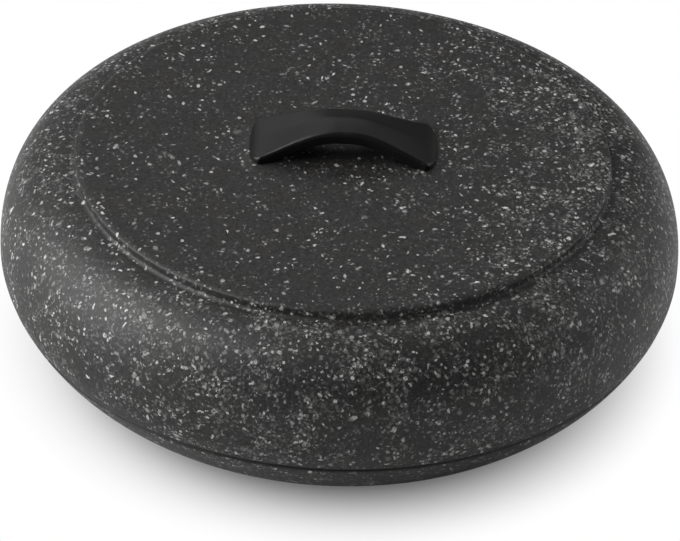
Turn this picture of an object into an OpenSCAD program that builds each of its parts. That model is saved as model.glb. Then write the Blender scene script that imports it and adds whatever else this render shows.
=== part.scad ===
// Round tortilla warmer: a shallow base, a deep lift-off lid with a raised disc on top,
// and a bridge handle held by two screws from inside the lid.
// Millimetres, +Z up. The origin is the centre of the foot, on the table. The handle runs along X.

/* [Body] */
// Widest diameter of the closed warmer
body_d = 254; // [230:1:300]
// Thickness of the lid and base shells
wall = 2.8; // [2:0.1:3.6]
// Height of the visible groove between the lid and the base
seam_gap = 1; // [0.6:0.1:2]
// Radius on the edges of the lid and the base at the groove
lip_r = 0.9; // [0.4:0.1:1.2]

/* [Base] */
// Height of the rim that carries the lid, above the table
rim_h = 31; // [26:0.5:40]
// Diameter of the flat bottom, where the side begins to rise
floor_d = 184; // [160:1:200]
// How full the side is, where 2 is an ellipse and 1 is a cone
side_power = 1.54; // [1.4:0.02:2.2]
// How far the ring that the warmer stands on lies in from the edge of the flat bottom
foot_inset = 6; // [2:0.5:20]
// Width of the ring
foot_w = 5; // [3:0.5:12]
// Height of the ring
foot_h = 2; // [1:0.5:4]
// Height of the lip that keeps the lid in place, above the rim
spigot_h = 5; // [3:0.5:8]
// Thickness of that lip
spigot_t = 2.2; // [1.6:0.1:3]
// Radius on the top edges of that lip
spigot_edge_r = 0.7; // [0.3:0.1:0.8]

/* [Lid] */
// Height of the skirt, from the groove up to the widest line
skirt_h = 8; // [5:0.5:12]
// Height of the disc on top, above the widest line
crown_h = 41; // [34:0.5:52]
// How full the shoulder is, where 2 is an ellipse
shoulder_power = 2.26; // [1.8:0.02:3]
// Diameter of the raised disc
disc_d = 197.6; // [170:0.2:206]
// Height of the step round the disc
step_h = 4.1; // [3:0.1:5]
// Width of the rounding on the disc's edge
edge_w = 2.8; // [0.6:0.1:4]
// Height of that rounding
edge_h = 1; // [0.4:0.1:1.4]
// Width of the hollow rounding at the foot of the step
root_w = 2.2; // [0.6:0.1:3]
// Height of that hollow rounding
root_h = 1.4; // [0.4:0.1:1.5]
// Width of the flat ring on which the lid sits
seat_w = 1.7; // [1:0.1:2]

/* [Handle] */
// Length of the handle
handle_l = 69.2; // [62:0.2:90]
// Width of the handle at its two ends
handle_end_w = 28; // [22:0.5:36]
// Width of the handle in the middle
handle_mid_w = 17.2; // [12:0.2:22]
// Thickness of the strap along its edges
handle_t = 5; // [4:0.1:7]
// Height of the strap's edges above the disc, in the middle
handle_rise = 12.5; // [11:0.1:24]
// Height of the soft ridge along the top, above the edges
ridge_h = 1.1; // [0:0.1:2]
// Length of the level stretch in the middle
arch_flat = 10; // [0:1:24]
// Length of the whole wave that the arch follows, a little longer than the handle
arch_l = 80; // [74:1:110]
// Height of the foot of that wave above the pads
arch_foot = 1.1; // [0.6:0.1:2]
// Length of the rounded nose at each end
nose_l = 4.4; // [3:0.1:7]
// Radius on the strap's top edges
strap_edge_r = 1.4; // [0.6:0.1:2]
// Radius on the strap's lower edges
under_edge_r = 0.8; // [0.4:0.1:1.4]

/* [Pads and screws] */
// Diameter of the low pads on the lid that the handle's ends stand on
pad_d = 31; // [30:0.5:40]
// Height of those pads
pad_h = 0.8; // [0.3:0.1:1.2]
// Width of the flare round each pad
pad_flare = 7; // [3:0.5:9]
// Distance between the two screws
screw_pitch = 48; // [42:1:54]
// Diameter of the screws
screw_d = 3.5; // [3:0.5:4.5]
// Length of the screws' tapered tips
tip_l = 1; // [0.5:0.1:1.4]
// Diameter of the screw heads
head_d = 7; // [6.6:0.1:9]
// Diameter of the flat on top of the heads
head_flat_d = 5.8; // [5.2:0.1:6.4]
// Height of the screw heads
head_h = 2.6; // [2:0.1:3.2]
// Height of the straight rim of the heads
head_rim_h = 1.4; // [0.8:0.1:1.8]
// Length of each arm of the cross in the heads, from end to end
recess_l = 4.8; // [3.6:0.1:5]
// Width of the arms
recess_w = 1.2; // [0.8:0.1:1.6]
// Depth of the cross
recess_h = 1.4; // [0.8:0.1:1.8]
// Diameter of the bosses in the handle
boss_d = 9; // [7.5:0.1:10]
// Plastic left above the screws and the bosses inside the handle
boss_skin = 0.6; // [0.4:0.1:1.2]
// Outside diameter of the washers
washer_d = 10; // [9.5:0.1:12]
// Thickness of the washers
washer_t = 1; // [0.6:0.1:1.6]

/* [Fits] */
// Gap all round between the base's lip and the lid
lid_clearance = 0.6; // [0.3:0.1:1]
// Gap all round between a screw and the hole that it passes through
hole_clearance = 0.2; // [0.1:0.05:0.4]
// Gap all round between a screw and the hole that it is driven into
drive_clearance = 0.05; // [0.02:0.01:0.1]

/* [Hidden] */
$fn = 96;

charcoal = [0.17, 0.17, 0.165];
black = [0.05, 0.05, 0.055];
steel = [0.72, 0.73, 0.74];

curve_steps = 30;
edge_steps = 6;
overlap = 1;

body_r = body_d / 2;
floor_r = floor_d / 2;
disc_r = disc_d / 2;
foot_r = floor_r - foot_inset;
root_r = disc_r + root_w;
screw_x = screw_pitch / 2;
screw_r = screw_d / 2;

widest_z = rim_h + seam_gap + skirt_h;
disc_z = widest_z + crown_h;
ceiling_z = disc_z - wall;
pad_z = disc_z + pad_h;
floor_drop = widest_z - foot_h;
shoulder_h = crown_h - step_h;

// Points on an oval corner: centre c, half width w, half height h, from angle a to angle b.
function oval(c, w, h, a, b) =
    [for (i = [0:edge_steps]) let (t = a + (b - a) * i / edge_steps) c + [w * cos(t), h * sin(t)]];
// Points on a round corner of radius r.
function corner(c, r, a, b) = oval(c, r, r, a, b);

// The side runs from the widest line, at angle 0, in and down to the flat bottom, at angle 90.
// An inset carries it inwards by a wall's thickness.
function side(t, inset) = [
    floor_r + (body_r - inset - floor_r) * pow(cos(t), 2 / side_power),
    widest_z - (floor_drop - inset) * pow(sin(t), 2 / side_power)];
function side_at_z(z, inset) = asin(pow((widest_z - z) / (floor_drop - inset), side_power / 2));
function side_at_r(r, inset) = acos(pow((r - floor_r) / (body_r - inset - floor_r), side_power / 2));
function side_curve(a, b, inset) =
    [for (i = [0:curve_steps]) side(a + (b - a) * i / curve_steps, inset)];
function side_r(z, inset) = side(side_at_z(z, inset), inset)[0];

// The shoulder runs from under the disc's edge, at angle 0, out and down to the widest line, at 90.
function shoulder(t, inset) = [
    disc_r + (body_r - inset - disc_r) * pow(sin(t), 2 / shoulder_power),
    widest_z + (shoulder_h - inset) * pow(cos(t), 2 / shoulder_power)];
function shoulder_at_r(r, inset) =
    asin(pow((r - disc_r) / (body_r - inset - disc_r), shoulder_power / 2));
function shoulder_curve(a, b, inset) =
    [for (i = [0:curve_steps]) shoulder(a + (b - a) * i / curve_steps, inset)];

root_z = shoulder(shoulder_at_r(root_r, 0), 0)[1];
lid_edge_z = rim_h + seam_gap;
lid_edge_r = side_r(lid_edge_z + lip_r, 0);
lid_inner_r = side_r(rim_h, wall);
seat_r = lid_inner_r + seat_w;
rim_r = side_r(rim_h - lip_r, 0);
spigot_r = lid_inner_r - lid_clearance;
spigot_inner_r = spigot_r - spigot_t;
spigot_z = rim_h + spigot_h;

// Half of the base's section.
function base_section() = concat(
    [[0, foot_h], [foot_r - foot_w, foot_h], [foot_r - foot_w, 0], [foot_r, 0], [foot_r, foot_h]],
    side_curve(90, side_at_z(rim_h - lip_r, 0), 0),
    corner([rim_r - lip_r, rim_h - lip_r], lip_r, 0, 90),
    [[spigot_r, rim_h]],
    corner([spigot_r - spigot_edge_r, spigot_z - spigot_edge_r], spigot_edge_r, 0, 90),
    corner([spigot_inner_r + spigot_edge_r, spigot_z - spigot_edge_r], spigot_edge_r, 90, 180),
    side_curve(side_at_r(spigot_inner_r, wall), 90, wall),
    [[0, foot_h + wall]]);

// Half of the lid's section.
function lid_section() = concat(
    [[0, disc_z]],
    oval([disc_r - edge_w, disc_z - edge_h], edge_w, edge_h, 90, 0),
    oval([root_r, root_z + root_h], root_w, root_h, 180, 270),
    shoulder_curve(shoulder_at_r(root_r, 0), 90, 0),
    side_curve(0, side_at_z(lid_edge_z + lip_r, 0), 0),
    corner([lid_edge_r - lip_r, lid_edge_z + lip_r], lip_r, 0, -90),
    [[seat_r, lid_edge_z], [seat_r, rim_h]],
    side_curve(side_at_z(rim_h, wall), 0, wall),
    shoulder_curve(90, 0, wall),
    [[disc_r - wall, widest_z + shoulder_h - wall], [disc_r - wall, ceiling_z], [0, ceiling_z]]);

module base() {
    color(charcoal) rotate_extrude() polygon(base_section());
}

// A low round pad under one end of the handle, with a hollow flare that runs out into the disc.
flare_steps = 8;
function flare_point(t) = [pad_d / 2 + pad_flare * t, disc_z + pad_h * pow(1 - t, 2)];
module pad() {
    rotate_extrude() polygon(concat(
        [[0, disc_z - overlap], [0, pad_z]],
        [for (i = [0:flare_steps]) flare_point(i / flare_steps)],
        [[pad_d / 2 + pad_flare, disc_z - overlap]]));
}

module at_screws() {
    for (way = [-1, 1]) translate([way * screw_x, 0, 0]) children();
}

module lid() {
    color(charcoal) difference() {
        union() {
            rotate_extrude() polygon(lid_section());
            at_screws() pad();
        }
        at_screws() translate([0, 0, ceiling_z - overlap])
            cylinder(h = wall + pad_h + 2 * overlap, r = screw_r + hole_clearance);
    }
}

// Along X the strap's edges are level in the middle and then follow a cosine wave down to the feet.
half_l = handle_l / 2;
nose_x = half_l - nose_l;
crest_z = disc_z + handle_rise;
wave_drop = crest_z - pad_z - arch_foot;
function wave(x) =
    let (t = max(0, min(1, (abs(x) - arch_flat / 2) / (arch_l - arch_flat) * 2)))
    crest_z - wave_drop * (1 - cos(180 * t)) / 2;
function strap_bottom(x) = max(wave(x) - handle_t, pad_z);

// The last stretch at each end closes in a rounded nose, in plan and in height alike.
nose_power = 2.2;
tip_share = 0.12;
function nose(x) =
    let (e = max(0, abs(x) - nose_x) / nose_l)
    max(tip_share, pow(max(0, 1 - pow(e, nose_power)), 1 / nose_power));
function strap_top(x) = strap_bottom(x) + (wave(x) - strap_bottom(x)) * nose(x);
function strap_ridge(x) = ridge_h * (1 - pow(x / half_l, 2));

// In plan the strap is waisted.
function strap_half_w(x) =
    let (along = min(abs(x), nose_x) / nose_x)
    (handle_mid_w + (handle_end_w - handle_mid_w) * pow(along, 2)) / 2 * nose(x);

// The section has rounded corners and a soft ridge along its top.
round_share = 0.45;
ridge_power = 1.4;
ridge_steps = 6;
round_steps = 3;
function arc(c, r, a) =
    [for (i = [0:round_steps]) let (t = a + 90 * i / round_steps) c + r * [cos(t), sin(t)]];
function strap_section(w, top, bottom, ridge) =
    let (most = round_share * min(top - bottom, w), r = min(strap_edge_r, most), q = min(under_edge_r, most))
    concat(
        arc([w - q, bottom + q], q, -90),
        arc([w - r, top - r], r, 0),
        [for (i = [1:ridge_steps - 1])
            let (s = 1 - 2 * i / ridge_steps) [s * (w - r), top + ridge * (1 - pow(abs(s), ridge_power))]],
        arc([r - w, top - r], r, 90),
        arc([q - w, bottom + q], q, 180));
function strap_ring(x) =
    [for (p = strap_section(strap_half_w(x), strap_top(x), strap_bottom(x), strap_ridge(x)))
        [x, p[0], p[1]]];
ring_points = len(strap_ring(0));

// Stations along the strap, closer together towards the ends.
strap_rings = 40;
function station(i) = half_l * sin(90 * (2 * i / strap_rings - 1));

module strap() {
    points = [for (i = [0:strap_rings]) each strap_ring(station(i))];
    last = strap_rings * ring_points;
    sides = [for (i = [0:strap_rings - 1], j = [0:ring_points - 1])
        let (k = (j + 1) % ring_points, a = i * ring_points, b = a + ring_points)
        each [[a + j, b + j, b + k], [a + j, b + k, a + k]]];
    caps = [for (j = [1:ring_points - 2])
        each [[0, j, j + 1], [last, last + j + 1, last + j]]];
    polyhedron(points, concat(sides, caps));
}

// A boss reaches from the pad up into the strap, and a blind hole takes the screw.
boss_top = strap_top(screw_x + boss_d / 2) - boss_skin;
drive_r = screw_r + drive_clearance;
drive_top = strap_top(screw_x + drive_r) - boss_skin;
module handle() {
    color(black) difference() {
        union() {
            strap();
            at_screws() translate([0, 0, pad_z]) cylinder(h = boss_top - pad_z, d = boss_d);
        }
        at_screws() translate([0, 0, pad_z - overlap])
            cylinder(h = drive_top - pad_z + overlap, r = drive_r);
    }
}

// A round-headed screw with a cross recess, pointing up. Its origin is under the head.
module screw(length) {
    difference() {
        union() {
            cylinder(h = length - tip_l, r = screw_r);
            translate([0, 0, length - tip_l]) cylinder(h = tip_l, r1 = screw_r, r2 = screw_r / 2);
            translate([0, 0, -head_rim_h]) cylinder(h = head_rim_h, d = head_d);
            translate([0, 0, -head_h]) cylinder(h = head_h - head_rim_h, d1 = head_flat_d, d2 = head_d);
        }
        for (turn = [0, 90]) rotate(turn)
            translate([-recess_l / 2, -recess_w / 2, -head_h - overlap])
                cube([recess_l, recess_w, recess_h + overlap]);
    }
}

seat_z = ceiling_z - washer_t;
module handle_screw(way) {
    color(steel) translate([way * screw_x, 0, seat_z]) screw(drive_top - drive_clearance - seat_z);
}

module handle_washer(way) {
    color(steel) translate([way * screw_x, 0, seat_z]) difference() {
        cylinder(h = washer_t, d = washer_d);
        translate([0, 0, -overlap])
            cylinder(h = washer_t + 2 * overlap, r = screw_r + hole_clearance);
    }
}

base();
lid();
handle();
handle_screw(-1);  // handle_screw_left
handle_screw(1);  // handle_screw_right
handle_washer(-1);  // handle_washer_left
handle_washer(1);  // handle_washer_right
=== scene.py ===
import math

import bmesh
import bpy
import numpy as np
from mathutils import Matrix, Vector


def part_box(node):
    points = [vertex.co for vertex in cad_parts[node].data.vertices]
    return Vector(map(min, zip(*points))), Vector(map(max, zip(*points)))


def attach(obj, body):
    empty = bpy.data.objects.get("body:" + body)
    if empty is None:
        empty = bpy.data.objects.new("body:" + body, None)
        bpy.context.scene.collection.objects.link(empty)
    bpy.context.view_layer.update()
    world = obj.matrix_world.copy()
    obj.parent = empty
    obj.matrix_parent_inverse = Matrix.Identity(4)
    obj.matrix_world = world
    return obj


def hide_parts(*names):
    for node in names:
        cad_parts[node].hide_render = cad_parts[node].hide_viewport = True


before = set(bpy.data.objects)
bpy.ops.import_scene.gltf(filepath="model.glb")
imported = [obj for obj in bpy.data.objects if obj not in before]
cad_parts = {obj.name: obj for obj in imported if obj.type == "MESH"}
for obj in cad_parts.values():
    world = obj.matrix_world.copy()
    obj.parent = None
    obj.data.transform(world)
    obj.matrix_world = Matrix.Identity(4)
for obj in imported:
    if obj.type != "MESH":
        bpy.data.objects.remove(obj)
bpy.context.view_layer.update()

# Lengths are metres. What the CAD model fixes is read from its boxes.
lidLow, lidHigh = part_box("lid")
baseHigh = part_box("base")[1]
handleLow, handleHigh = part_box("handle")
sides = ("left", "right")
screwBox = {side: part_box("handle_screw_" + side) for side in sides}
washerBox = {side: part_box("handle_washer_" + side) for side in sides}

# Mesh helpers

weldGap = 1e-7  # points closer than this become one
sliver = 2e-6  # and after a cut, faces thinner than this are dissolved


def gridFaces(rows, cols, wrap):
    # quads between neighbouring rows of a grid; wrap joins the last column to the first
    i, j = np.meshgrid(np.arange(rows - 1), np.arange(cols if wrap else cols - 1), indexing="ij")
    k = (j + 1) % cols
    quads = [i * cols + j, i * cols + k, (i + 1) * cols + k, (i + 1) * cols + j]
    return np.stack(quads, -1).reshape(-1, 4)


def meshFromGrids(name, grids, wrap=True):
    # grids of points (rows, columns, xyz) become one welded mesh with its faces pointing out
    points, faces, start = [], [], 0
    for grid in grids:
        rows, cols = grid.shape[:2]
        points.append(grid.reshape(-1, 3))
        faces.append(gridFaces(rows, cols, wrap) + start)
        start += rows * cols
    mesh = bpy.data.meshes.new(name)
    mesh.from_pydata(np.concatenate(points), [], np.concatenate(faces).tolist())
    work = bmesh.new()
    work.from_mesh(mesh)
    bmesh.ops.remove_doubles(work, verts=work.verts, dist=weldGap)
    bmesh.ops.recalc_face_normals(work, faces=work.faces)
    work.to_mesh(mesh)
    work.free()
    return mesh


def smoothShade(mesh, sharpDeg):
    mesh.shade_smooth()
    mesh.set_sharp_from_angle(angle=math.radians(sharpDeg))


def addPiece(name, mesh, material, body, node, sharpDeg=40):
    # puts a finished mesh in the scene as the piece that stands for one CAD node
    smoothShade(mesh, sharpDeg)
    piece = bpy.data.objects.new(name, mesh)
    bpy.context.scene.collection.objects.link(piece)
    mesh.materials.clear()
    mesh.materials.append(material)
    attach(piece, body)
    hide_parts(node)
    print(f"{name}: {len(mesh.vertices)} points, {len(mesh.polygons)} faces")
    return piece


def revolve(profile, steps, centre=(0.0, 0.0)):
    # each profile point (r, z) goes round a vertical axis: (x + r cos a, y + r sin a, z)
    a = np.arange(steps) * (2 * math.pi / steps)
    r, z = profile[:, :1], profile[:, 1:]
    x = centre[0] + r * np.cos(a)
    y = centre[1] + r * np.sin(a)
    return np.stack([x, y, np.broadcast_to(z, x.shape)], -1)


def arc(centre, radius, fromDeg, toDeg, steps=8):
    # round corner: centre + radius (cos t, sin t); a pair of radii makes it elliptical
    t = np.radians(np.linspace(fromDeg, toDeg, steps + 1))
    return np.asarray(centre) + np.stack([np.cos(t), np.sin(t)], -1) * radius


def straight(start, end, count):
    return np.linspace(start, end, count)


# Shader helpers

class Wire:
    # one socket of a shader; sums on it add Math nodes, and node() adds any other node
    def __init__(self, tree, socket=None):
        self.tree = tree
        self.socket = socket

    def node(self, kind, settings=None, sockets=None):
        made = self.tree.nodes.new(kind)
        for name, value in (settings or {}).items():
            setattr(made, name, value)
        for name, value in (sockets or {}).items():
            byName = (s for s in made.inputs if s.name == name and s.enabled)
            target = made.inputs[name] if isinstance(name, int) else next(byName)
            if isinstance(value, Wire):
                self.tree.links.new(value.socket, target)
            else:
                target.default_value = value
        return Wire(self.tree, next((s for s in made.outputs if s.enabled), None))

    def out(self, name):
        return Wire(self.tree, self.socket.node.outputs[name])

    def maths(self, operation, a, b):
        return self.node("ShaderNodeMath", {"operation": operation}, {0: a, 1: b})

    def __add__(self, other):
        return self.maths("ADD", self, other)

    def __radd__(self, other):
        return self.maths("ADD", other, self)

    def __sub__(self, other):
        return self.maths("SUBTRACT", self, other)

    def __rsub__(self, other):
        return self.maths("SUBTRACT", other, self)

    def __mul__(self, other):
        return self.maths("MULTIPLY", self, other)

    def __rmul__(self, other):
        return self.maths("MULTIPLY", other, self)

    def __pow__(self, other):
        return self.maths("POWER", self, other)

    def __rpow__(self, other):
        return self.maths("POWER", other, self)

    def __lt__(self, other):
        return self.maths("LESS_THAN", self, other)

    def __gt__(self, other):
        return self.maths("GREATER_THAN", self, other)

    def spread(self, low, high, toLow=0.0, toHigh=1.0):
        # smooth step from toLow at low to toHigh at high
        ends = {"Value": self, "From Min": low, "From Max": high, "To Min": toLow, "To Max": toHigh}
        return self.node("ShaderNodeMapRange", {"interpolation_type": "SMOOTHSTEP"}, ends)

    def clamp(self):
        return self.node("ShaderNodeClamp", {}, {"Value": self})


def newMaterial(name):
    material = bpy.data.materials.new(name)
    material.use_nodes = True
    material.node_tree.nodes.clear()
    return material, Wire(material.node_tree)


def mixColour(paint, factor, a, b):
    return paint.node("ShaderNodeMix", {"data_type": "RGBA"}, {"Factor": factor, "A": a, "B": b})


noiseMiddle = 0.5


def noise(paint, place, size, detail=2.0):
    # soft noise from 0 to 1 whose features are about size across
    return paint.node("ShaderNodeTexNoise", {}, {"Vector": place, "Scale": 1 / size, "Detail": detail})


def grainBump(paint, place, size, depth, detail=3.0):
    grain = noise(paint, place, size, detail)
    return paint.node("ShaderNodeBump", {}, {"Strength": 1.0, "Distance": depth, "Height": grain})


def coat(paint, sockets):
    shader = paint.node("ShaderNodeBsdfPrincipled", {}, sockets)
    paint.node("ShaderNodeOutputMaterial", {}, {"Surface": shader})


def rgba(colour):
    return (*colour, 1.0)


# Outline that the lid and the base share

shell = {
    "bodyR": lidHigh.x,
    "discR": 0.0988,  # raised disc on top of the lid
    "rimZ": lidLow.z,  # rim of the base, on which the lid sits
    "seamGap": 0.001,
    "skirtH": 0.008,
    "wall": 0.0028,
    "lipRound": 0.0012,
    "floorR": 0.092,
    "footH": 0.002,
    "sidePower": 1.54,
    "roundSteps": 256,
}
quarter = math.pi / 2
widestZ = shell["rimZ"] + shell["seamGap"] + shell["skirtH"]
floorDrop = widestZ - shell["footH"]


def sidePoints(t, inset=0.0):
    # side, a superellipse from the widest line (t 0) to the flat bottom (t a quarter turn):
    # r = floorR + (bodyR - inset - floorR) cos(t)^(2/p), z = widestZ - (drop - inset) sin(t)^(2/p)
    p = 2 / shell["sidePower"]
    r = shell["floorR"] + (shell["bodyR"] - inset - shell["floorR"]) * np.clip(np.cos(t), 0, 1) ** p
    z = widestZ - (floorDrop - inset) * np.sin(t) ** p
    return np.stack([r, z], -1)


def sideAtZ(z, inset=0.0):
    return math.asin(((widestZ - z) / (floorDrop - inset)) ** (shell["sidePower"] / 2))


def sideAtR(r, inset):
    share = (r - shell["floorR"]) / (shell["bodyR"] - inset - shell["floorR"])
    return math.acos(share ** (shell["sidePower"] / 2))


def sideCurve(start, end, inset, count):
    return sidePoints(np.linspace(start, end, count), inset)


lidInnerR = sidePoints(sideAtZ(shell["rimZ"], shell["wall"]), shell["wall"])[0]

# Speckled plastic of the lid and the base

stone = {
    "charcoal": (0.0187, 0.0184, 0.0178),
    "warm": (0.0209, 0.0187, 0.0168),
    "cool": (0.0172, 0.0181, 0.0194),
    "tintPatch": 0.016,
    "tintSpan": (0.38, 0.62),
    "tintShare": 0.5,  # how much charcoal goes into the tint
    "mottleSize": 0.0011,
    "mottle": 2.1,  # how far the charcoal itself goes up and down
    "mottleLow": 0.25,
    "roughness": 0.51,
    "roughSpread": 0.10,
    "roughPatch": 0.0064,
    "chipSmooth": 0.06,  # chips are smoother by this
    "ior": 1.46,
    "gloss": 0.60,
    "grainSize": 0.00045,
    "grainDepth": 0.00002,
    "warpSize": 0.0008,
    "warp": 0.0011,
    "turnPatch": 0.0045,  # chips within a patch this wide lie the same way
    "clusterSize": 0.012,
    "clusterSpan": (0.30, 0.70),
    "clusterThin": 0.30,
    "clusterThick": 1.75,
    "discShare": (0.25, 1.0),  # share of the chips that lie on the disc, at the left and at the right
    "discTurn": (0.01, 0.09),  # the stretch of x over which it goes up
    "sideShare": (0.62, 1.0),  # and the same on the sides
    "sideTurn": (-0.09, -0.02),
    "edgeBand": 0.006,
    "lipBand": 0.0020,  # height of the base's top edge, which has no chips
    "baseShare": 0.60,
    "sharpness": 5,
    "chipBlue": 0.97,  # chips are slightly warm
    "layerStep": (7.3, 3.1, 0.0),  # each layer's cells are moved by this much more
    "chips": (
        # cell width, how many times longer than wide, share of the cells that hold a chip, least and
        # greatest radius in cells, dimmest and brightest tone, and how rare the bright ones are
        {"cell": 0.0027, "long": 1.5, "share": 0.11,
         "radius": (0.28, 0.55), "tone": (0.06, 0.29), "rare": 1.6},
        {"cell": 0.0017, "long": 1.4, "share": 0.33,
         "radius": (0.30, 0.60), "tone": (0.07, 0.62), "rare": 1.7},
        {"cell": 0.0012, "long": 3.0, "share": 0.28,
         "radius": (0.34, 0.62), "tone": (0.08, 0.67), "rare": 1.5},
        {"cell": 0.0012, "long": 1.0, "share": 0.60,
         "radius": (0.30, 0.65), "tone": (0.048, 0.13), "rare": 1.0},
    ),
}


def chipLayer(paint, place, layer, number, density):
    # a share of the cells of a Voronoi pattern holds a chip, cut off at a radius of its own
    wide = 1 / layer["cell"]
    moved = tuple(number * step for step in stone["layerStep"])
    scaled = paint.node("ShaderNodeMapping", {}, {
        "Vector": place, "Scale": (wide, wide / layer["long"], wide), "Location": moved})
    cells = paint.node("ShaderNodeTexVoronoi", {}, {"Vector": scaled, "Scale": 1.0})
    lot = paint.node("ShaderNodeSeparateColor", {}, {"Color": cells.out("Color")})
    picked = lot.out("Red") < density * layer["share"]
    least, most = layer["radius"]
    dim, bright = layer["tone"]
    radius = least + lot.out("Green") * (most - least)
    inside = ((radius - cells.out("Distance")) * stone["sharpness"]).clamp()
    tone = dim + lot.out("Blue") ** layer["rare"] * (bright - dim)
    return picked * inside, tone


def chipDensity(paint, place):
    # chips gather in loose clusters and lie thinner on the disc, towards the left and on the base, whose
    # top edge up to the seam has none
    flat = paint.node("ShaderNodeVectorMath", {"operation": "MULTIPLY"}, {0: place, 1: (1, 1, 0)})
    axisR = paint.node("ShaderNodeVectorMath", {"operation": "LENGTH"}, {0: flat}).out("Value")
    parts = paint.node("ShaderNodeSeparateXYZ", {}, {"Vector": place})
    across, height = parts.out("X"), parts.out("Z")
    discR, rimZ = shell["discR"], shell["rimZ"]
    band, lipBand = stone["edgeBand"], stone["lipBand"]
    discShare = across.spread(*stone["discTurn"], *stone["discShare"])
    sideShare = across.spread(*stone["sideTurn"], *stone["sideShare"])
    offDisc = axisR.spread(discR - band, discR + band)
    byPlace = discShare + (sideShare - discShare) * offDisc
    byHeight = height.spread(rimZ, rimZ + band, stone["baseShare"], 1.0)
    belowLip = height.spread(rimZ - lipBand, rimZ - lipBand / 2, 1.0, 0.0)
    aboveSeam = height > rimZ + shell["seamGap"] / 2
    byHeight = byHeight * paint.maths("MAXIMUM", belowLip, aboveSeam)
    cluster = noise(paint, place, stone["clusterSize"], detail=3.0)
    gathered = cluster.spread(*stone["clusterSpan"], stone["clusterThin"], stone["clusterThick"])
    return gathered * byPlace * byHeight


def makeStone():
    material, paint = newMaterial("speckled_stone_plastic")
    place = paint.node("ShaderNodeTexCoord").out("Object")
    wobble = paint.node("ShaderNodeVectorMath", {"operation": "SUBTRACT"},
                        {0: noise(paint, place, stone["warpSize"]).out("Color"), 1: (noiseMiddle,) * 3})
    shift = paint.node("ShaderNodeVectorMath", {"operation": "SCALE"}, {0: wobble, "Scale": stone["warp"]})
    warped = paint.node("ShaderNodeVectorMath", {"operation": "ADD"}, {0: place, 1: shift})
    patches = paint.node("ShaderNodeTexVoronoi", {}, {"Vector": place, "Scale": 1 / stone["turnPatch"]})
    turns = paint.node("ShaderNodeVectorMath", {"operation": "SCALE"},
                       {0: patches.out("Color"), "Scale": 2 * math.pi})
    spun = paint.node("ShaderNodeVectorRotate", {"rotation_type": "EULER_XYZ"},
                      {"Vector": warped, "Rotation": turns})
    density = chipDensity(paint, place)
    warmth = noise(paint, place, stone["tintPatch"]).spread(*stone["tintSpan"])
    tint = mixColour(paint, warmth, rgba(stone["cool"]), rgba(stone["warm"]))
    tint = mixColour(paint, stone["tintShare"], tint, rgba(stone["charcoal"]))
    mottle = noise(paint, place, stone["mottleSize"], detail=3.0) - noiseMiddle
    level = paint.maths("MAXIMUM", 1 + mottle * 2 * stone["mottle"], stone["mottleLow"])
    colour = paint.node("ShaderNodeVectorMath", {"operation": "SCALE"}, {0: tint, "Scale": level})
    covered = None
    for number, layer in enumerate(stone["chips"]):
        amount, tone = chipLayer(paint, spun, layer, number, density)
        blue = tone * stone["chipBlue"]
        pale = paint.node("ShaderNodeCombineColor", {}, {"Red": tone, "Green": tone, "Blue": blue})
        colour = mixColour(paint, amount, colour, pale)
        covered = amount if covered is None else paint.maths("MAXIMUM", covered, amount)
    cloud = noise(paint, place, stone["roughPatch"], detail=3.0) - noiseMiddle
    rough = stone["roughness"] + cloud * stone["roughSpread"] - covered * stone["chipSmooth"]
    bump = grainBump(paint, place, stone["grainSize"], stone["grainDepth"])
    coat(paint, {"Base Color": colour, "Roughness": rough, "IOR": stone["ior"],
                 "Specular IOR Level": stone["gloss"], "Normal": bump})
    return material


stonePlastic = makeStone()
print("speckled plastic made")

# Base: a shallow dish on a foot ring, with a lip that keeps the lid in place

dish = {
    "footInset": 0.006,
    "footW": 0.005,
    "footRound": 0.0006,
    "lidClearance": 0.0006,
    "lipT": 0.0022,
    "lipEdge": 0.0007,
    "rimRound": 0.0016,
    "floorInset": 0.002,  # the level floor inside starts this far in from the side's curve
    "cornerSteps": 4,
    "sideSteps": 48,
    "floorSteps": (12, 14),  # underneath and inside
}


def baseProfile():
    # half section of the dish, from the axis underneath, out and up, over the lip and back along the floor
    wall, rim, foot = shell["wall"], dish["rimRound"], dish["footRound"]
    rimZ, footH = shell["rimZ"], shell["footH"]
    footR = shell["floorR"] - dish["footInset"]
    footInR = footR - dish["footW"]
    lipR = lidInnerR - dish["lidClearance"]
    lipInR = lipR - dish["lipT"]
    edge = dish["lipEdge"]
    lipTop = baseHigh.z
    rimAngle = sideAtZ(rimZ - rim)
    rimR = sidePoints(rimAngle)[0]
    floorZ = footH + wall
    corner, side = dish["cornerSteps"], dish["sideSteps"]
    outSteps, inSteps = dish["floorSteps"]
    return np.concatenate([
        straight((0, footH), (footInR - foot, footH), outSteps),
        arc((footInR - foot, footH - foot), foot, 90, 0, corner),
        arc((footInR + foot, foot), foot, 180, 270, corner),
        arc((footR - foot, foot), foot, 270, 360, corner),
        arc((footR + foot, footH - foot), foot, 180, 90, corner),
        sideCurve(quarter, rimAngle, 0, side),
        arc((rimR - rim, rimZ - rim), rim, 0, 90),
        [[lipR, rimZ]],
        arc((lipR - edge, lipTop - edge), edge, 0, 90),
        arc((lipInR + edge, lipTop - edge), edge, 90, 180),
        sideCurve(sideAtR(lipInR, wall), quarter, wall, side),
        straight((shell["floorR"] - dish["floorInset"], floorZ), (0, floorZ), inSteps),
    ])


baseMesh = meshFromGrids("base_dish", [revolve(baseProfile(), shell["roundSteps"])])
addPiece("base_dish", baseMesh, stonePlastic, "base", "base")

# Lid: a dome with a raised disc, and a low mound under each end of the handle

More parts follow.
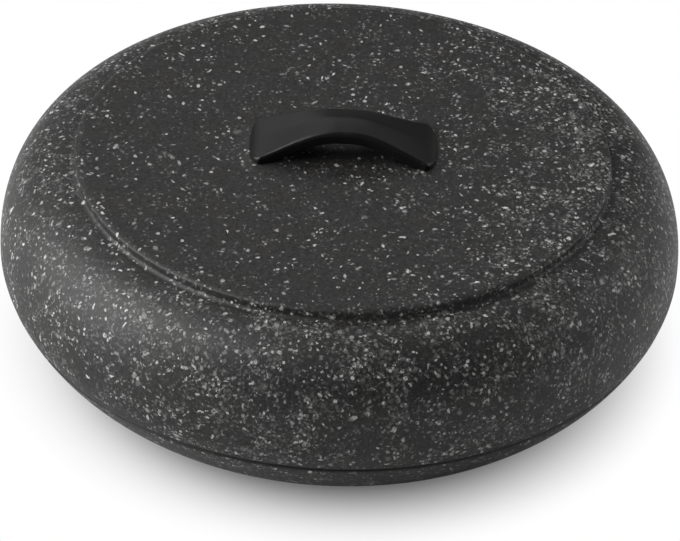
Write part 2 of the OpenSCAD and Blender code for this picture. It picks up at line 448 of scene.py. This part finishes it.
dome = {
    "shoulderPower": 2.26,
    "stepH": 0.0041,
    "discEdge": (0.0028, 0.0010),  # width and height of the rounding on the disc's edge
    "rootEdge": (0.0022, 0.0014),  # and of the hollow one at the foot of the step
    "seatW": 0.0024,
    "ceilingRound": 0.0006,
    "rootEnd": 265,  # degrees at which the hollow runs into the shoulder
    "edgeSteps": 12,
    "cornerSteps": 4,
    "discSteps": 8,
    "ceilingSteps": 6,
    "skirtSteps": 14,
    "shoulderSteps": (40, 34),  # outside and inside
    "plateR": 0.062,
    "plateRings": 64,
    "splitSteps": 64,
    "ceilingRings": 8,
    "holeR": 0.00195,
    "moundH": 0.0008,
    "moundInX": 0.019,
    "moundCorner": 0.006,
    "moundFlare": 0.012,
    "moundPower": 3.0,
}
screwX = (screwBox["right"][0].x + screwBox["right"][1].x) / 2
discZ = lidHigh.z - dome["moundH"]
ceilingZ = discZ - shell["wall"]
shoulderH = discZ - widestZ - dome["stepH"]


def shoulderPoints(t, inset=0.0):
    # shoulder, a superellipse from under the disc's edge (t 0) to the widest line (t a quarter turn):
    # r = discR + (bodyR - inset - discR) sin(t)^(2/p), z = widestZ + (shoulderH - inset) cos(t)^(2/p)
    p = 2 / dome["shoulderPower"]
    r = shell["discR"] + (shell["bodyR"] - inset - shell["discR"]) * np.sin(t) ** p
    z = widestZ + (shoulderH - inset) * np.clip(np.cos(t), 0, 1) ** p
    return np.stack([r, z], -1)


def shoulderAtR(r):
    share = (r - shell["discR"]) / (shell["bodyR"] - shell["discR"])
    return math.asin(share ** (dome["shoulderPower"] / 2))


def domeProfile():
    # section of the lid outside the middle plate: disc, step, shoulder, skirt, seat and back inside
    wall, lip, soft = shell["wall"], shell["lipRound"], dome["ceilingRound"]
    discR, plateR = shell["discR"], dome["plateR"]
    discEdge, rootEdge = np.array(dome["discEdge"]), np.array(dome["rootEdge"])
    rootR = discR + rootEdge[0]
    edgeZ = shell["rimZ"] + shell["seamGap"]
    lipAngle = sideAtZ(edgeZ + lip)
    lipR = sidePoints(lipAngle)[0]
    seatR = lidInnerR + dome["seatW"]
    innerZ = widestZ + shoulderH - wall
    innerR = discR - wall
    rootAngle = shoulderAtR(rootR)
    rootZ = shoulderPoints(rootAngle)[1]
    edge, corner, skirt = dome["edgeSteps"], dome["cornerSteps"], dome["skirtSteps"]
    outSteps, inSteps = dome["shoulderSteps"]
    return np.concatenate([
        straight((plateR, discZ), (discR - discEdge[0], discZ), dome["discSteps"])[:-1],
        arc((discR, discZ) - discEdge, discEdge, 90, 0, edge),
        arc((rootR, rootZ + rootEdge[1]), rootEdge, 180, dome["rootEnd"], edge),
        shoulderPoints(np.linspace(rootAngle, quarter, outSteps)),
        sideCurve(0, lipAngle, 0, skirt)[1:],
        arc((lipR - lip, edgeZ + lip), lip, 0, -90),
        [[seatR, edgeZ], [seatR, shell["rimZ"]]],
        sideCurve(sideAtZ(shell["rimZ"], wall), 0, wall, skirt),
        shoulderPoints(np.linspace(quarter, 0, inSteps), wall)[1:],
        arc((innerR + soft, innerZ + soft), soft, 270, 180, corner),
        arc((innerR - soft, ceilingZ - soft), soft, 0, 90, corner),
        straight((innerR - soft, ceilingZ), (plateR, ceilingZ), dome["ceilingSteps"])[1:],
    ])


def moundHeight(x, y):
    # the mound is level under the handle's foot, a rounded box in plan, and outside it falls off as
    # moundH (1 - d / flare)^power, where d is the distance from that box
    corner = dome["moundCorner"]
    midX = (handleHigh.x + dome["moundInX"]) / 2
    halfX = (handleHigh.x - dome["moundInX"]) / 2
    outX = np.maximum(np.abs(np.abs(x) - midX) - halfX + corner, 0)
    outY = np.maximum(np.abs(y) - handleHigh.y + corner, 0)
    d = np.maximum(np.hypot(outX, outY) - corner, 0)
    return dome["moundH"] * np.clip(1 - d / dome["moundFlare"], 0, 1) ** dome["moundPower"]


def plateGrid(way, rings):
    # half of the middle plate in plan: straight lines from a screw hole out to the plate's edge and the
    # line between the two halves; way is 1 for the right half and -1 for the left
    half = shell["roundSteps"] // 2
    a = np.linspace(-quarter, quarter, half + 1)
    rim = dome["plateR"] * np.stack([np.cos(a), np.sin(a)], -1)
    rim[[0, -1], 0] = 0
    split = straight((0, dome["plateR"]), (0, -dome["plateR"]), dome["splitSteps"] + 1)[1:-1]
    edge = np.concatenate([rim, split])
    centre = np.array([screwX, 0])
    ray = edge - centre
    hole = centre + dome["holeR"] * ray / np.linalg.norm(ray, axis=1, keepdims=True)
    v = np.linspace(0, 1, rings)[:, None, None]
    plan = hole + (edge - hole) * v
    return plan * [way, 1]


def plateSurface(way, rings, height):
    plan = plateGrid(way, rings)
    return np.concatenate([plan, height(plan[..., 0], plan[..., 1])[..., None]], -1)


def makeLid():
    grids = [revolve(domeProfile(), shell["roundSteps"])]
    for way in (-1, 1):
        top = plateSurface(way, dome["plateRings"], lambda x, y: discZ + moundHeight(x, y))
        under = plateSurface(way, dome["ceilingRings"], lambda x, y: np.full(x.shape, ceilingZ))
        bore = np.stack([top[0], under[0]])
        grids += [top, under, bore]
    return meshFromGrids("lid_dome", grids)


addPiece("lid_dome", makeLid(), stonePlastic, "lid", "lid")

# Handle: a waisted bridge in satin black

satin = {
    "black": (0.0042, 0.0042, 0.0044),
    "worn": (0.0060, 0.0059, 0.0060),
    "roughness": 0.38,
    "roughSpread": 0.08,
    "ior": 1.47,
    "patch": 0.009,
    "patchSpan": (0.35, 0.70),
    "grainSize": 0.00022,
    "grainDepth": 0.000010,
}


def makeSatin():
    material, paint = newMaterial("satin_black_plastic")
    place = paint.node("ShaderNodeTexCoord").out("Object")
    patch = noise(paint, place, satin["patch"], detail=4.0)
    worn = patch.spread(*satin["patchSpan"])
    colour = mixColour(paint, worn, rgba(satin["black"]), rgba(satin["worn"]))
    rough = satin["roughness"] + (patch - noiseMiddle) * satin["roughSpread"]
    bump = grainBump(paint, place, satin["grainSize"], satin["grainDepth"])
    coat(paint, {"Base Color": colour, "Roughness": rough, "IOR": satin["ior"], "Normal": bump})
    return material


strap = {
    "midHalfW": 0.0086,
    "thick": 0.005,
    "ridgeH": 0.0011,
    "ridgePower": 1.4,
    "flatHalf": 0.002,
    "waveHalf": 0.0415,
    "waveFoot": 0.0011,
    "noseL": 0.0044,
    "nosePower": 2.2,
    "edgeRound": 0.0016,
    "underRound": 0.0008,
    "roundShare": 0.45,
    "stations": 181,
    "cornerPoints": 8,
    "topPoints": 33,
    "underPoints": 13,
    "plugSteps": 64,
    "bossR": 0.0045,
    "bossSkin": 0.0005,
    "driveR": 0.0018,
    "bossLift": 0.00002,  # keeps the bosses' ends from lying in one plane with the feet
}
halfL, endHalfW = handleHigh.x, handleHigh.y
padZ = handleLow.z
crestZ = handleHigh.z - strap["ridgeH"]
noseX = halfL - strap["noseL"]


def strapWave(x):
    # the edges are level in the middle, then follow half a cosine wave down to the feet
    t = np.clip((np.abs(x) - strap["flatHalf"]) / (strap["waveHalf"] - strap["flatHalf"]), 0, 1)
    drop = crestZ - padZ - strap["waveFoot"]
    return crestZ - drop * (1 - np.cos(math.pi * t)) / 2


def strapNose(x):
    # quarter superellipse that closes each end: (1 - e^p)^(1/p)
    e = np.clip((np.abs(x) - noseX) / strap["noseL"], 0, 1)
    return np.clip(1 - e ** strap["nosePower"], 0, 1) ** (1 / strap["nosePower"])


def strapBottom(x):
    return np.maximum(strapWave(x) - strap["thick"], padZ)


def strapTop(x):
    return strapBottom(x) + (strapWave(x) - strapBottom(x)) * strapNose(x)


def strapHalfW(x):
    along = np.minimum(np.abs(x), noseX) / noseX
    return (strap["midHalfW"] + (endHalfW - strap["midHalfW"]) * along ** 2) * strapNose(x)


def strapGrid():
    # sections carried along x: round lower corners, round upper corners, and a ridge across the top,
    # top + ridgeH (1 - |s|^power), where s runs from one upper corner to the other
    x = halfL * np.sin(np.linspace(-quarter, quarter, strap["stations"]))[:, None]
    w, top, bottom = strapHalfW(x), strapTop(x), strapBottom(x)
    most = strap["roundShare"] * np.minimum(top - bottom, w)
    r, q = np.minimum(strap["edgeRound"], most), np.minimum(strap["underRound"], most)
    ridge = strap["ridgeH"] * (1 - (x / halfL) ** 2)
    t = np.linspace(0, quarter, strap["cornerPoints"])
    s = np.linspace(1, -1, strap["topPoints"])[1:-1]
    u = np.linspace(-1, 1, strap["underPoints"])[1:-1]
    y = np.concatenate([
        w - q + q * np.sin(t), w - r + r * np.cos(t), s * (w - r),
        r - w - r * np.sin(t), q - w - q * np.cos(t), u * (w - q)], 1)
    z = np.concatenate([
        bottom + q - q * np.cos(t), top - r + r * np.sin(t),
        top + ridge * (1 - np.abs(s) ** strap["ridgePower"]),
        top - r + r * np.cos(t), bottom + q - q * np.sin(t), bottom + 0 * u], 1)
    return np.stack([np.broadcast_to(x, y.shape), y, z], -1)


def plug(radius, low, high, centreX):
    # closed upright cylinder
    profile = np.array([[0, low], [radius, low], [radius, high], [0, high]])
    return meshFromGrids("plug", [revolve(profile, strap["plugSteps"], (centreX, 0))])


def carve(mesh, tools):
    # joins or cuts closed meshes, (operation, mesh) in order, and returns the result as one clean mesh
    holder = bpy.data.objects.new("carve", mesh)
    bpy.context.scene.collection.objects.link(holder)
    helpers = []
    for operation, toolMesh in tools:
        helper = bpy.data.objects.new("carve_tool", toolMesh)
        bpy.context.scene.collection.objects.link(helper)
        step = holder.modifiers.new("carve", "BOOLEAN")
        step.operation, step.solver, step.object = operation, "MANIFOLD", helper
        helpers.append(helper)
    depsgraph = bpy.context.evaluated_depsgraph_get()
    result = bpy.data.meshes.new_from_object(holder.evaluated_get(depsgraph))
    for spare in [holder, *helpers]:
        bpy.data.objects.remove(spare)
    work = bmesh.new()
    work.from_mesh(result)
    bmesh.ops.triangulate(work, faces=[face for face in work.faces if len(face.verts) > 4])
    bmesh.ops.dissolve_degenerate(work, edges=work.edges, dist=sliver)
    work.to_mesh(result)
    work.free()
    return result


def makeHandle():
    bossTop = strapTop(np.array(screwX + strap["bossR"])) - strap["bossSkin"]
    driveTop = strapTop(np.array(screwX + strap["driveR"])) - strap["bossSkin"]
    bossLow, below = padZ + strap["bossLift"], padZ - strap["thick"]
    tools = [("UNION", plug(strap["bossR"], bossLow, bossTop, way * screwX)) for way in (-1, 1)]
    tools += [("DIFFERENCE", plug(strap["driveR"], below, driveTop, way * screwX)) for way in (-1, 1)]
    return carve(meshFromGrids("bridge_handle", [strapGrid()]), tools)


addPiece("bridge_handle", makeHandle(), makeSatin(), "lid", "handle")

# Screws and washers inside the lid

zinc = {
    "bright": (0.66, 0.66, 0.65),
    "dull": (0.47, 0.47, 0.48),
    "roughness": 0.30,
    "roughSpread": 0.20,
    "patch": 0.0016,
    "patchSpan": (0.35, 0.65),
    "grainSize": 0.00012,
    "grainDepth": 0.000006,
}


def makeZinc():
    material, paint = newMaterial("zinc_plated_steel")
    place = paint.node("ShaderNodeTexCoord").out("Object")
    patch = noise(paint, place, zinc["patch"], detail=3.0)
    clean = patch.spread(*zinc["patchSpan"])
    colour = mixColour(paint, clean, rgba(zinc["dull"]), rgba(zinc["bright"]))
    rough = zinc["roughness"] + (patch - noiseMiddle) * zinc["roughSpread"]
    bump = grainBump(paint, place, zinc["grainSize"], zinc["grainDepth"], detail=2.0)
    coat(paint, {"Base Color": colour, "Metallic": 1.0, "Roughness": rough, "Normal": bump})
    return material


zincSteel = makeZinc()

screw = {
    "shankR": 0.00175,
    "rootR": 0.0013,
    "pitch": 0.0014,
    "neckL": 0.0012,
    "tipL": 0.001,
    "tipShare": 0.5,  # the tip's width as a share of the shank's
    "headH": 0.0026,
    "headPower": 2.8,
    "recessL": 0.0048,
    "recessW": 0.0012,
    "recessH": 0.0014,
    "recessSlope": 0.00012,
    "recessTaper": 0.4,  # how much narrower each arm is at its end
    "columns": 96,
    "headRings": 60,
    "threadRows": 90,
    "sharpDeg": 30,
}


def crossDepth(along, across):
    # one arm of the cross: deepest in the middle, running out towards its ends, with sloping walls
    reach = np.clip(1 - (along / (screw["recessL"] / 2)) ** 2, 0, 1)
    width = screw["recessW"] / 2 * (1 - screw["recessTaper"] * (1 - reach))
    return screw["recessH"] * reach * np.clip((width - across) / screw["recessSlope"], 0, 1)


def screwGrid(low, high):
    # dome over the head, r = R sin(t)^(2/p), with a cross sunk in it, then the flat under the head, then
    # the shank, whose radius follows a triangle wave along a helix: phase = z / pitch - angle / turn
    centreX = (low.x + high.x) / 2
    headR = (high.x - low.x) / 2
    seatZ = low.z + screw["headH"]
    a = np.arange(screw["columns"]) * (2 * math.pi / screw["columns"])
    t = np.linspace(0, quarter, screw["headRings"])[:, None]
    p = 2 / screw["headPower"]
    headRad = headR * np.sin(t) ** p * np.ones_like(a)
    headZ = seatZ - screw["headH"] * np.clip(np.cos(t), 0, 1) ** p
    x, y = np.abs(headRad * np.cos(a)), np.abs(headRad * np.sin(a))
    headZ = headZ + np.maximum(crossDepth(x, y), crossDepth(y, x))
    z = np.linspace(seatZ, high.z, screw["threadRows"])[:, None]
    phase = (z / screw["pitch"] - a / (2 * math.pi)) % 1
    started = np.clip((z - seatZ - screw["neckL"]) / screw["pitch"], 0, 1)
    groove = (screw["shankR"] - screw["rootR"]) * np.abs(2 * phase - 1) * started
    full = np.clip((high.z - z) / screw["tipL"], 0, 1)
    taper = screw["tipShare"] + (1 - screw["tipShare"]) * full
    shankRad = (screw["shankR"] - groove) * taper
    end = np.zeros((1, screw["columns"]))
    rad = np.concatenate([headRad, shankRad, end])
    height = np.concatenate([headZ, z + 0 * a, high.z + end])
    return np.stack([centreX + rad * np.cos(a), rad * np.sin(a), height], -1)


washer = {
    "holeR": 0.00195,
    "edgeRound": 0.00015,
    "cornerSteps": 3,
    "roundSteps": 96,
}


def washerGrid(low, high):
    # a flat ring with rounded edges
    centreX, outR = (low.x + high.x) / 2, (high.x - low.x) / 2
    e, inR, steps = washer["edgeRound"], washer["holeR"], washer["cornerSteps"]
    profile = np.concatenate([
        arc((outR - e, low.z + e), e, -90, 0, steps), arc((outR - e, high.z - e), e, 0, 90, steps),
        arc((inR + e, high.z - e), e, 90, 180, steps), arc((inR + e, low.z + e), e, 180, 270, steps)])
    return revolve(np.concatenate([profile, profile[:1]]), washer["roundSteps"], (centreX, 0))


for side in sides:
    screwMesh = meshFromGrids("screw_" + side, [screwGrid(*screwBox[side])])
    addPiece("screw_" + side, screwMesh, zincSteel, "lid", "handle_screw_" + side, screw["sharpDeg"])
    washerMesh = meshFromGrids("washer_" + side, [washerGrid(*washerBox[side])])
    addPiece("washer_" + side, washerMesh, zincSteel, "lid", "handle_washer_" + side)

# Floor, light and camera

studio = {
    "floorHalf": 5.0,
    "floorZ": -0.00005,
    "floorColour": (0.72, 0.72, 0.72),
    "seenPaintedWhiteFade": (0.086, 0.136),  # distances from the middle between which the floor's shadow fades into a painted white glow that only the camera sees
    "paintedReflectionFade": (0.10, 0.30),  # and the same for a painted reflection, from a point in front of the object, so that its front reflects darker floor than its sides
    "paintedReflectionCentre": (-0.04, -0.16, 0.0),
    "paintedReflectionShare": 0.58,  # how far reflections fade to the painted white
    "world": 0.04,
    "aim": (0.0, 0.0, 0.05),
    "lamps": (
        {"name": "left_panel", "at": (-1.47, -0.12, 1.09), "size": (1.73, 2.46), "watts": 51.5},
        {"name": "right_panel", "at": (1.55, 0.42, 0.87), "size": (2.08, 1.35), "watts": 9.1},
        {"name": "back_left_panel", "at": (-0.77, 1.74, 1.51), "size": (0.83, 2.42), "watts": 3.9},
        {"name": "back_top_panel", "at": (0.18, 1.60, 1.70), "size": (1.37, 0.85), "watts": 2.7},
    ),
}


def makeFloor():
    # matt pale grey with the object's shadow; further out a painted white glow, no lamp, lies over the floor
    # and over the shadow's outer part: plain white to the camera, and a paler grey in reflections, a painted
    # reflection
    material, paint = newMaterial("pale_floor")
    rays = paint.node("ShaderNodeLightPath")
    place = paint.node("ShaderNodeTexCoord").out("Object")
    away = paint.node("ShaderNodeVectorMath", {"operation": "LENGTH"}, {0: place}).out("Value")
    mirrored = paint.maths("MAXIMUM", rays.out("Is Glossy Ray"), rays.out("Is Transmission Ray"))
    seen = rays.out("Is Camera Ray") * away.spread(*studio["seenPaintedWhiteFade"])
    shifted = paint.node("ShaderNodeVectorMath", {"operation": "DISTANCE"},
                         {0: place, 1: studio["paintedReflectionCentre"]}).out("Value")
    # painted reflection: glossy rays see a white glow away from a point in front, which pales the object's
    # sides and leaves its front darker
    paintedReflection = mirrored * shifted.spread(*studio["paintedReflectionFade"]) * studio["paintedReflectionShare"]
    fade = paint.maths("MAXIMUM", seen, paintedReflection)
    matt = paint.node("ShaderNodeBsdfDiffuse", {}, {"Color": rgba(studio["floorColour"])})
    # painted white glow, no lamp: seen only by the camera and in reflections
    white = paint.node("ShaderNodeEmission", {}, {"Color": (1, 1, 1, 1), "Strength": 1.0})
    both = paint.node("ShaderNodeMixShader", {}, {"Fac": fade, 1: matt, 2: white})
    paint.node("ShaderNodeOutputMaterial", {}, {"Surface": both})
    half, z = studio["floorHalf"], studio["floorZ"]
    x, y = np.meshgrid([-half, half], [-half, half])
    mesh = meshFromGrids("floor", [np.stack([x, y, np.full(x.shape, z)], -1)], wrap=False)
    mesh.materials.append(material)
    floor = bpy.data.objects.new("floor", mesh)
    bpy.context.scene.collection.objects.link(floor)


def makeLamps():
    for lamp in studio["lamps"]:
        data = bpy.data.lights.new(lamp["name"], "AREA")
        data.shape = "RECTANGLE"
        data.size, data.size_y = lamp["size"]
        data.energy = lamp["watts"]
        holder = bpy.data.objects.new(lamp["name"], data)
        holder.location = lamp["at"]
        holder.rotation_euler = (Vector(studio["aim"]) - holder.location).to_track_quat("-Z", "Y").to_euler()
        bpy.context.scene.collection.objects.link(holder)


def makeWorld():
    world = bpy.data.worlds.new("studio")
    world.use_nodes = True
    world.node_tree.nodes.clear()
    paint = Wire(world.node_tree)
    glow = paint.node("ShaderNodeBackground", {}, {"Color": (1, 1, 1, 1), "Strength": studio["world"]})
    paint.node("ShaderNodeOutputWorld", {}, {"Surface": glow})
    bpy.context.scene.world = world


shot = {
    "aim": (0.0, 0.0, widestZ),
    "elevation": 36.134,  # degrees, as is the roll
    "distance": 1.2065,
    "roll": 2.2606,
    "focalPixels": 3205.2,
    "imageSize": (680, 541),
    "aimPixel": (339.66, 238.12),
    "sensor": 36.0,  # millimetres
}


def makeCamera():
    # stands back from the aim point, rolls, then turns until that point falls on its pixel
    e, roll = math.radians(shot["elevation"]), math.radians(shot["roll"])
    ahead = Vector((0, math.cos(e), -math.sin(e)))
    up = Vector((0, math.sin(e), math.cos(e)))
    right = Vector((1, 0, 0))
    rolledRight = right * math.cos(roll) + up * math.sin(roll)
    rolledUp = up * math.cos(roll) - right * math.sin(roll)
    offX = shot["aimPixel"][0] - shot["imageSize"][0] / 2
    offY = shot["imageSize"][1] / 2 - shot["aimPixel"][1]
    axis = (ahead * shot["focalPixels"] - rolledRight * offX - rolledUp * offY).normalized()
    across = axis.cross(rolledUp).normalized()
    data = bpy.data.cameras.new("camera")
    data.sensor_width = shot["sensor"]
    data.lens = shot["focalPixels"] / shot["imageSize"][0] * shot["sensor"]
    camera = bpy.data.objects.new("camera", data)
    turn = Matrix((across, across.cross(axis), -axis)).transposed()
    camera.matrix_world = Matrix.Translation(Vector(shot["aim"]) - ahead * shot["distance"]) @ turn.to_4x4()
    bpy.context.scene.collection.objects.link(camera)
    bpy.context.scene.camera = camera


makeFloor()
makeLamps()
makeWorld()
makeCamera()
bpy.context.scene.view_settings.view_transform = "Standard"
print("floor, lamps and camera placed")
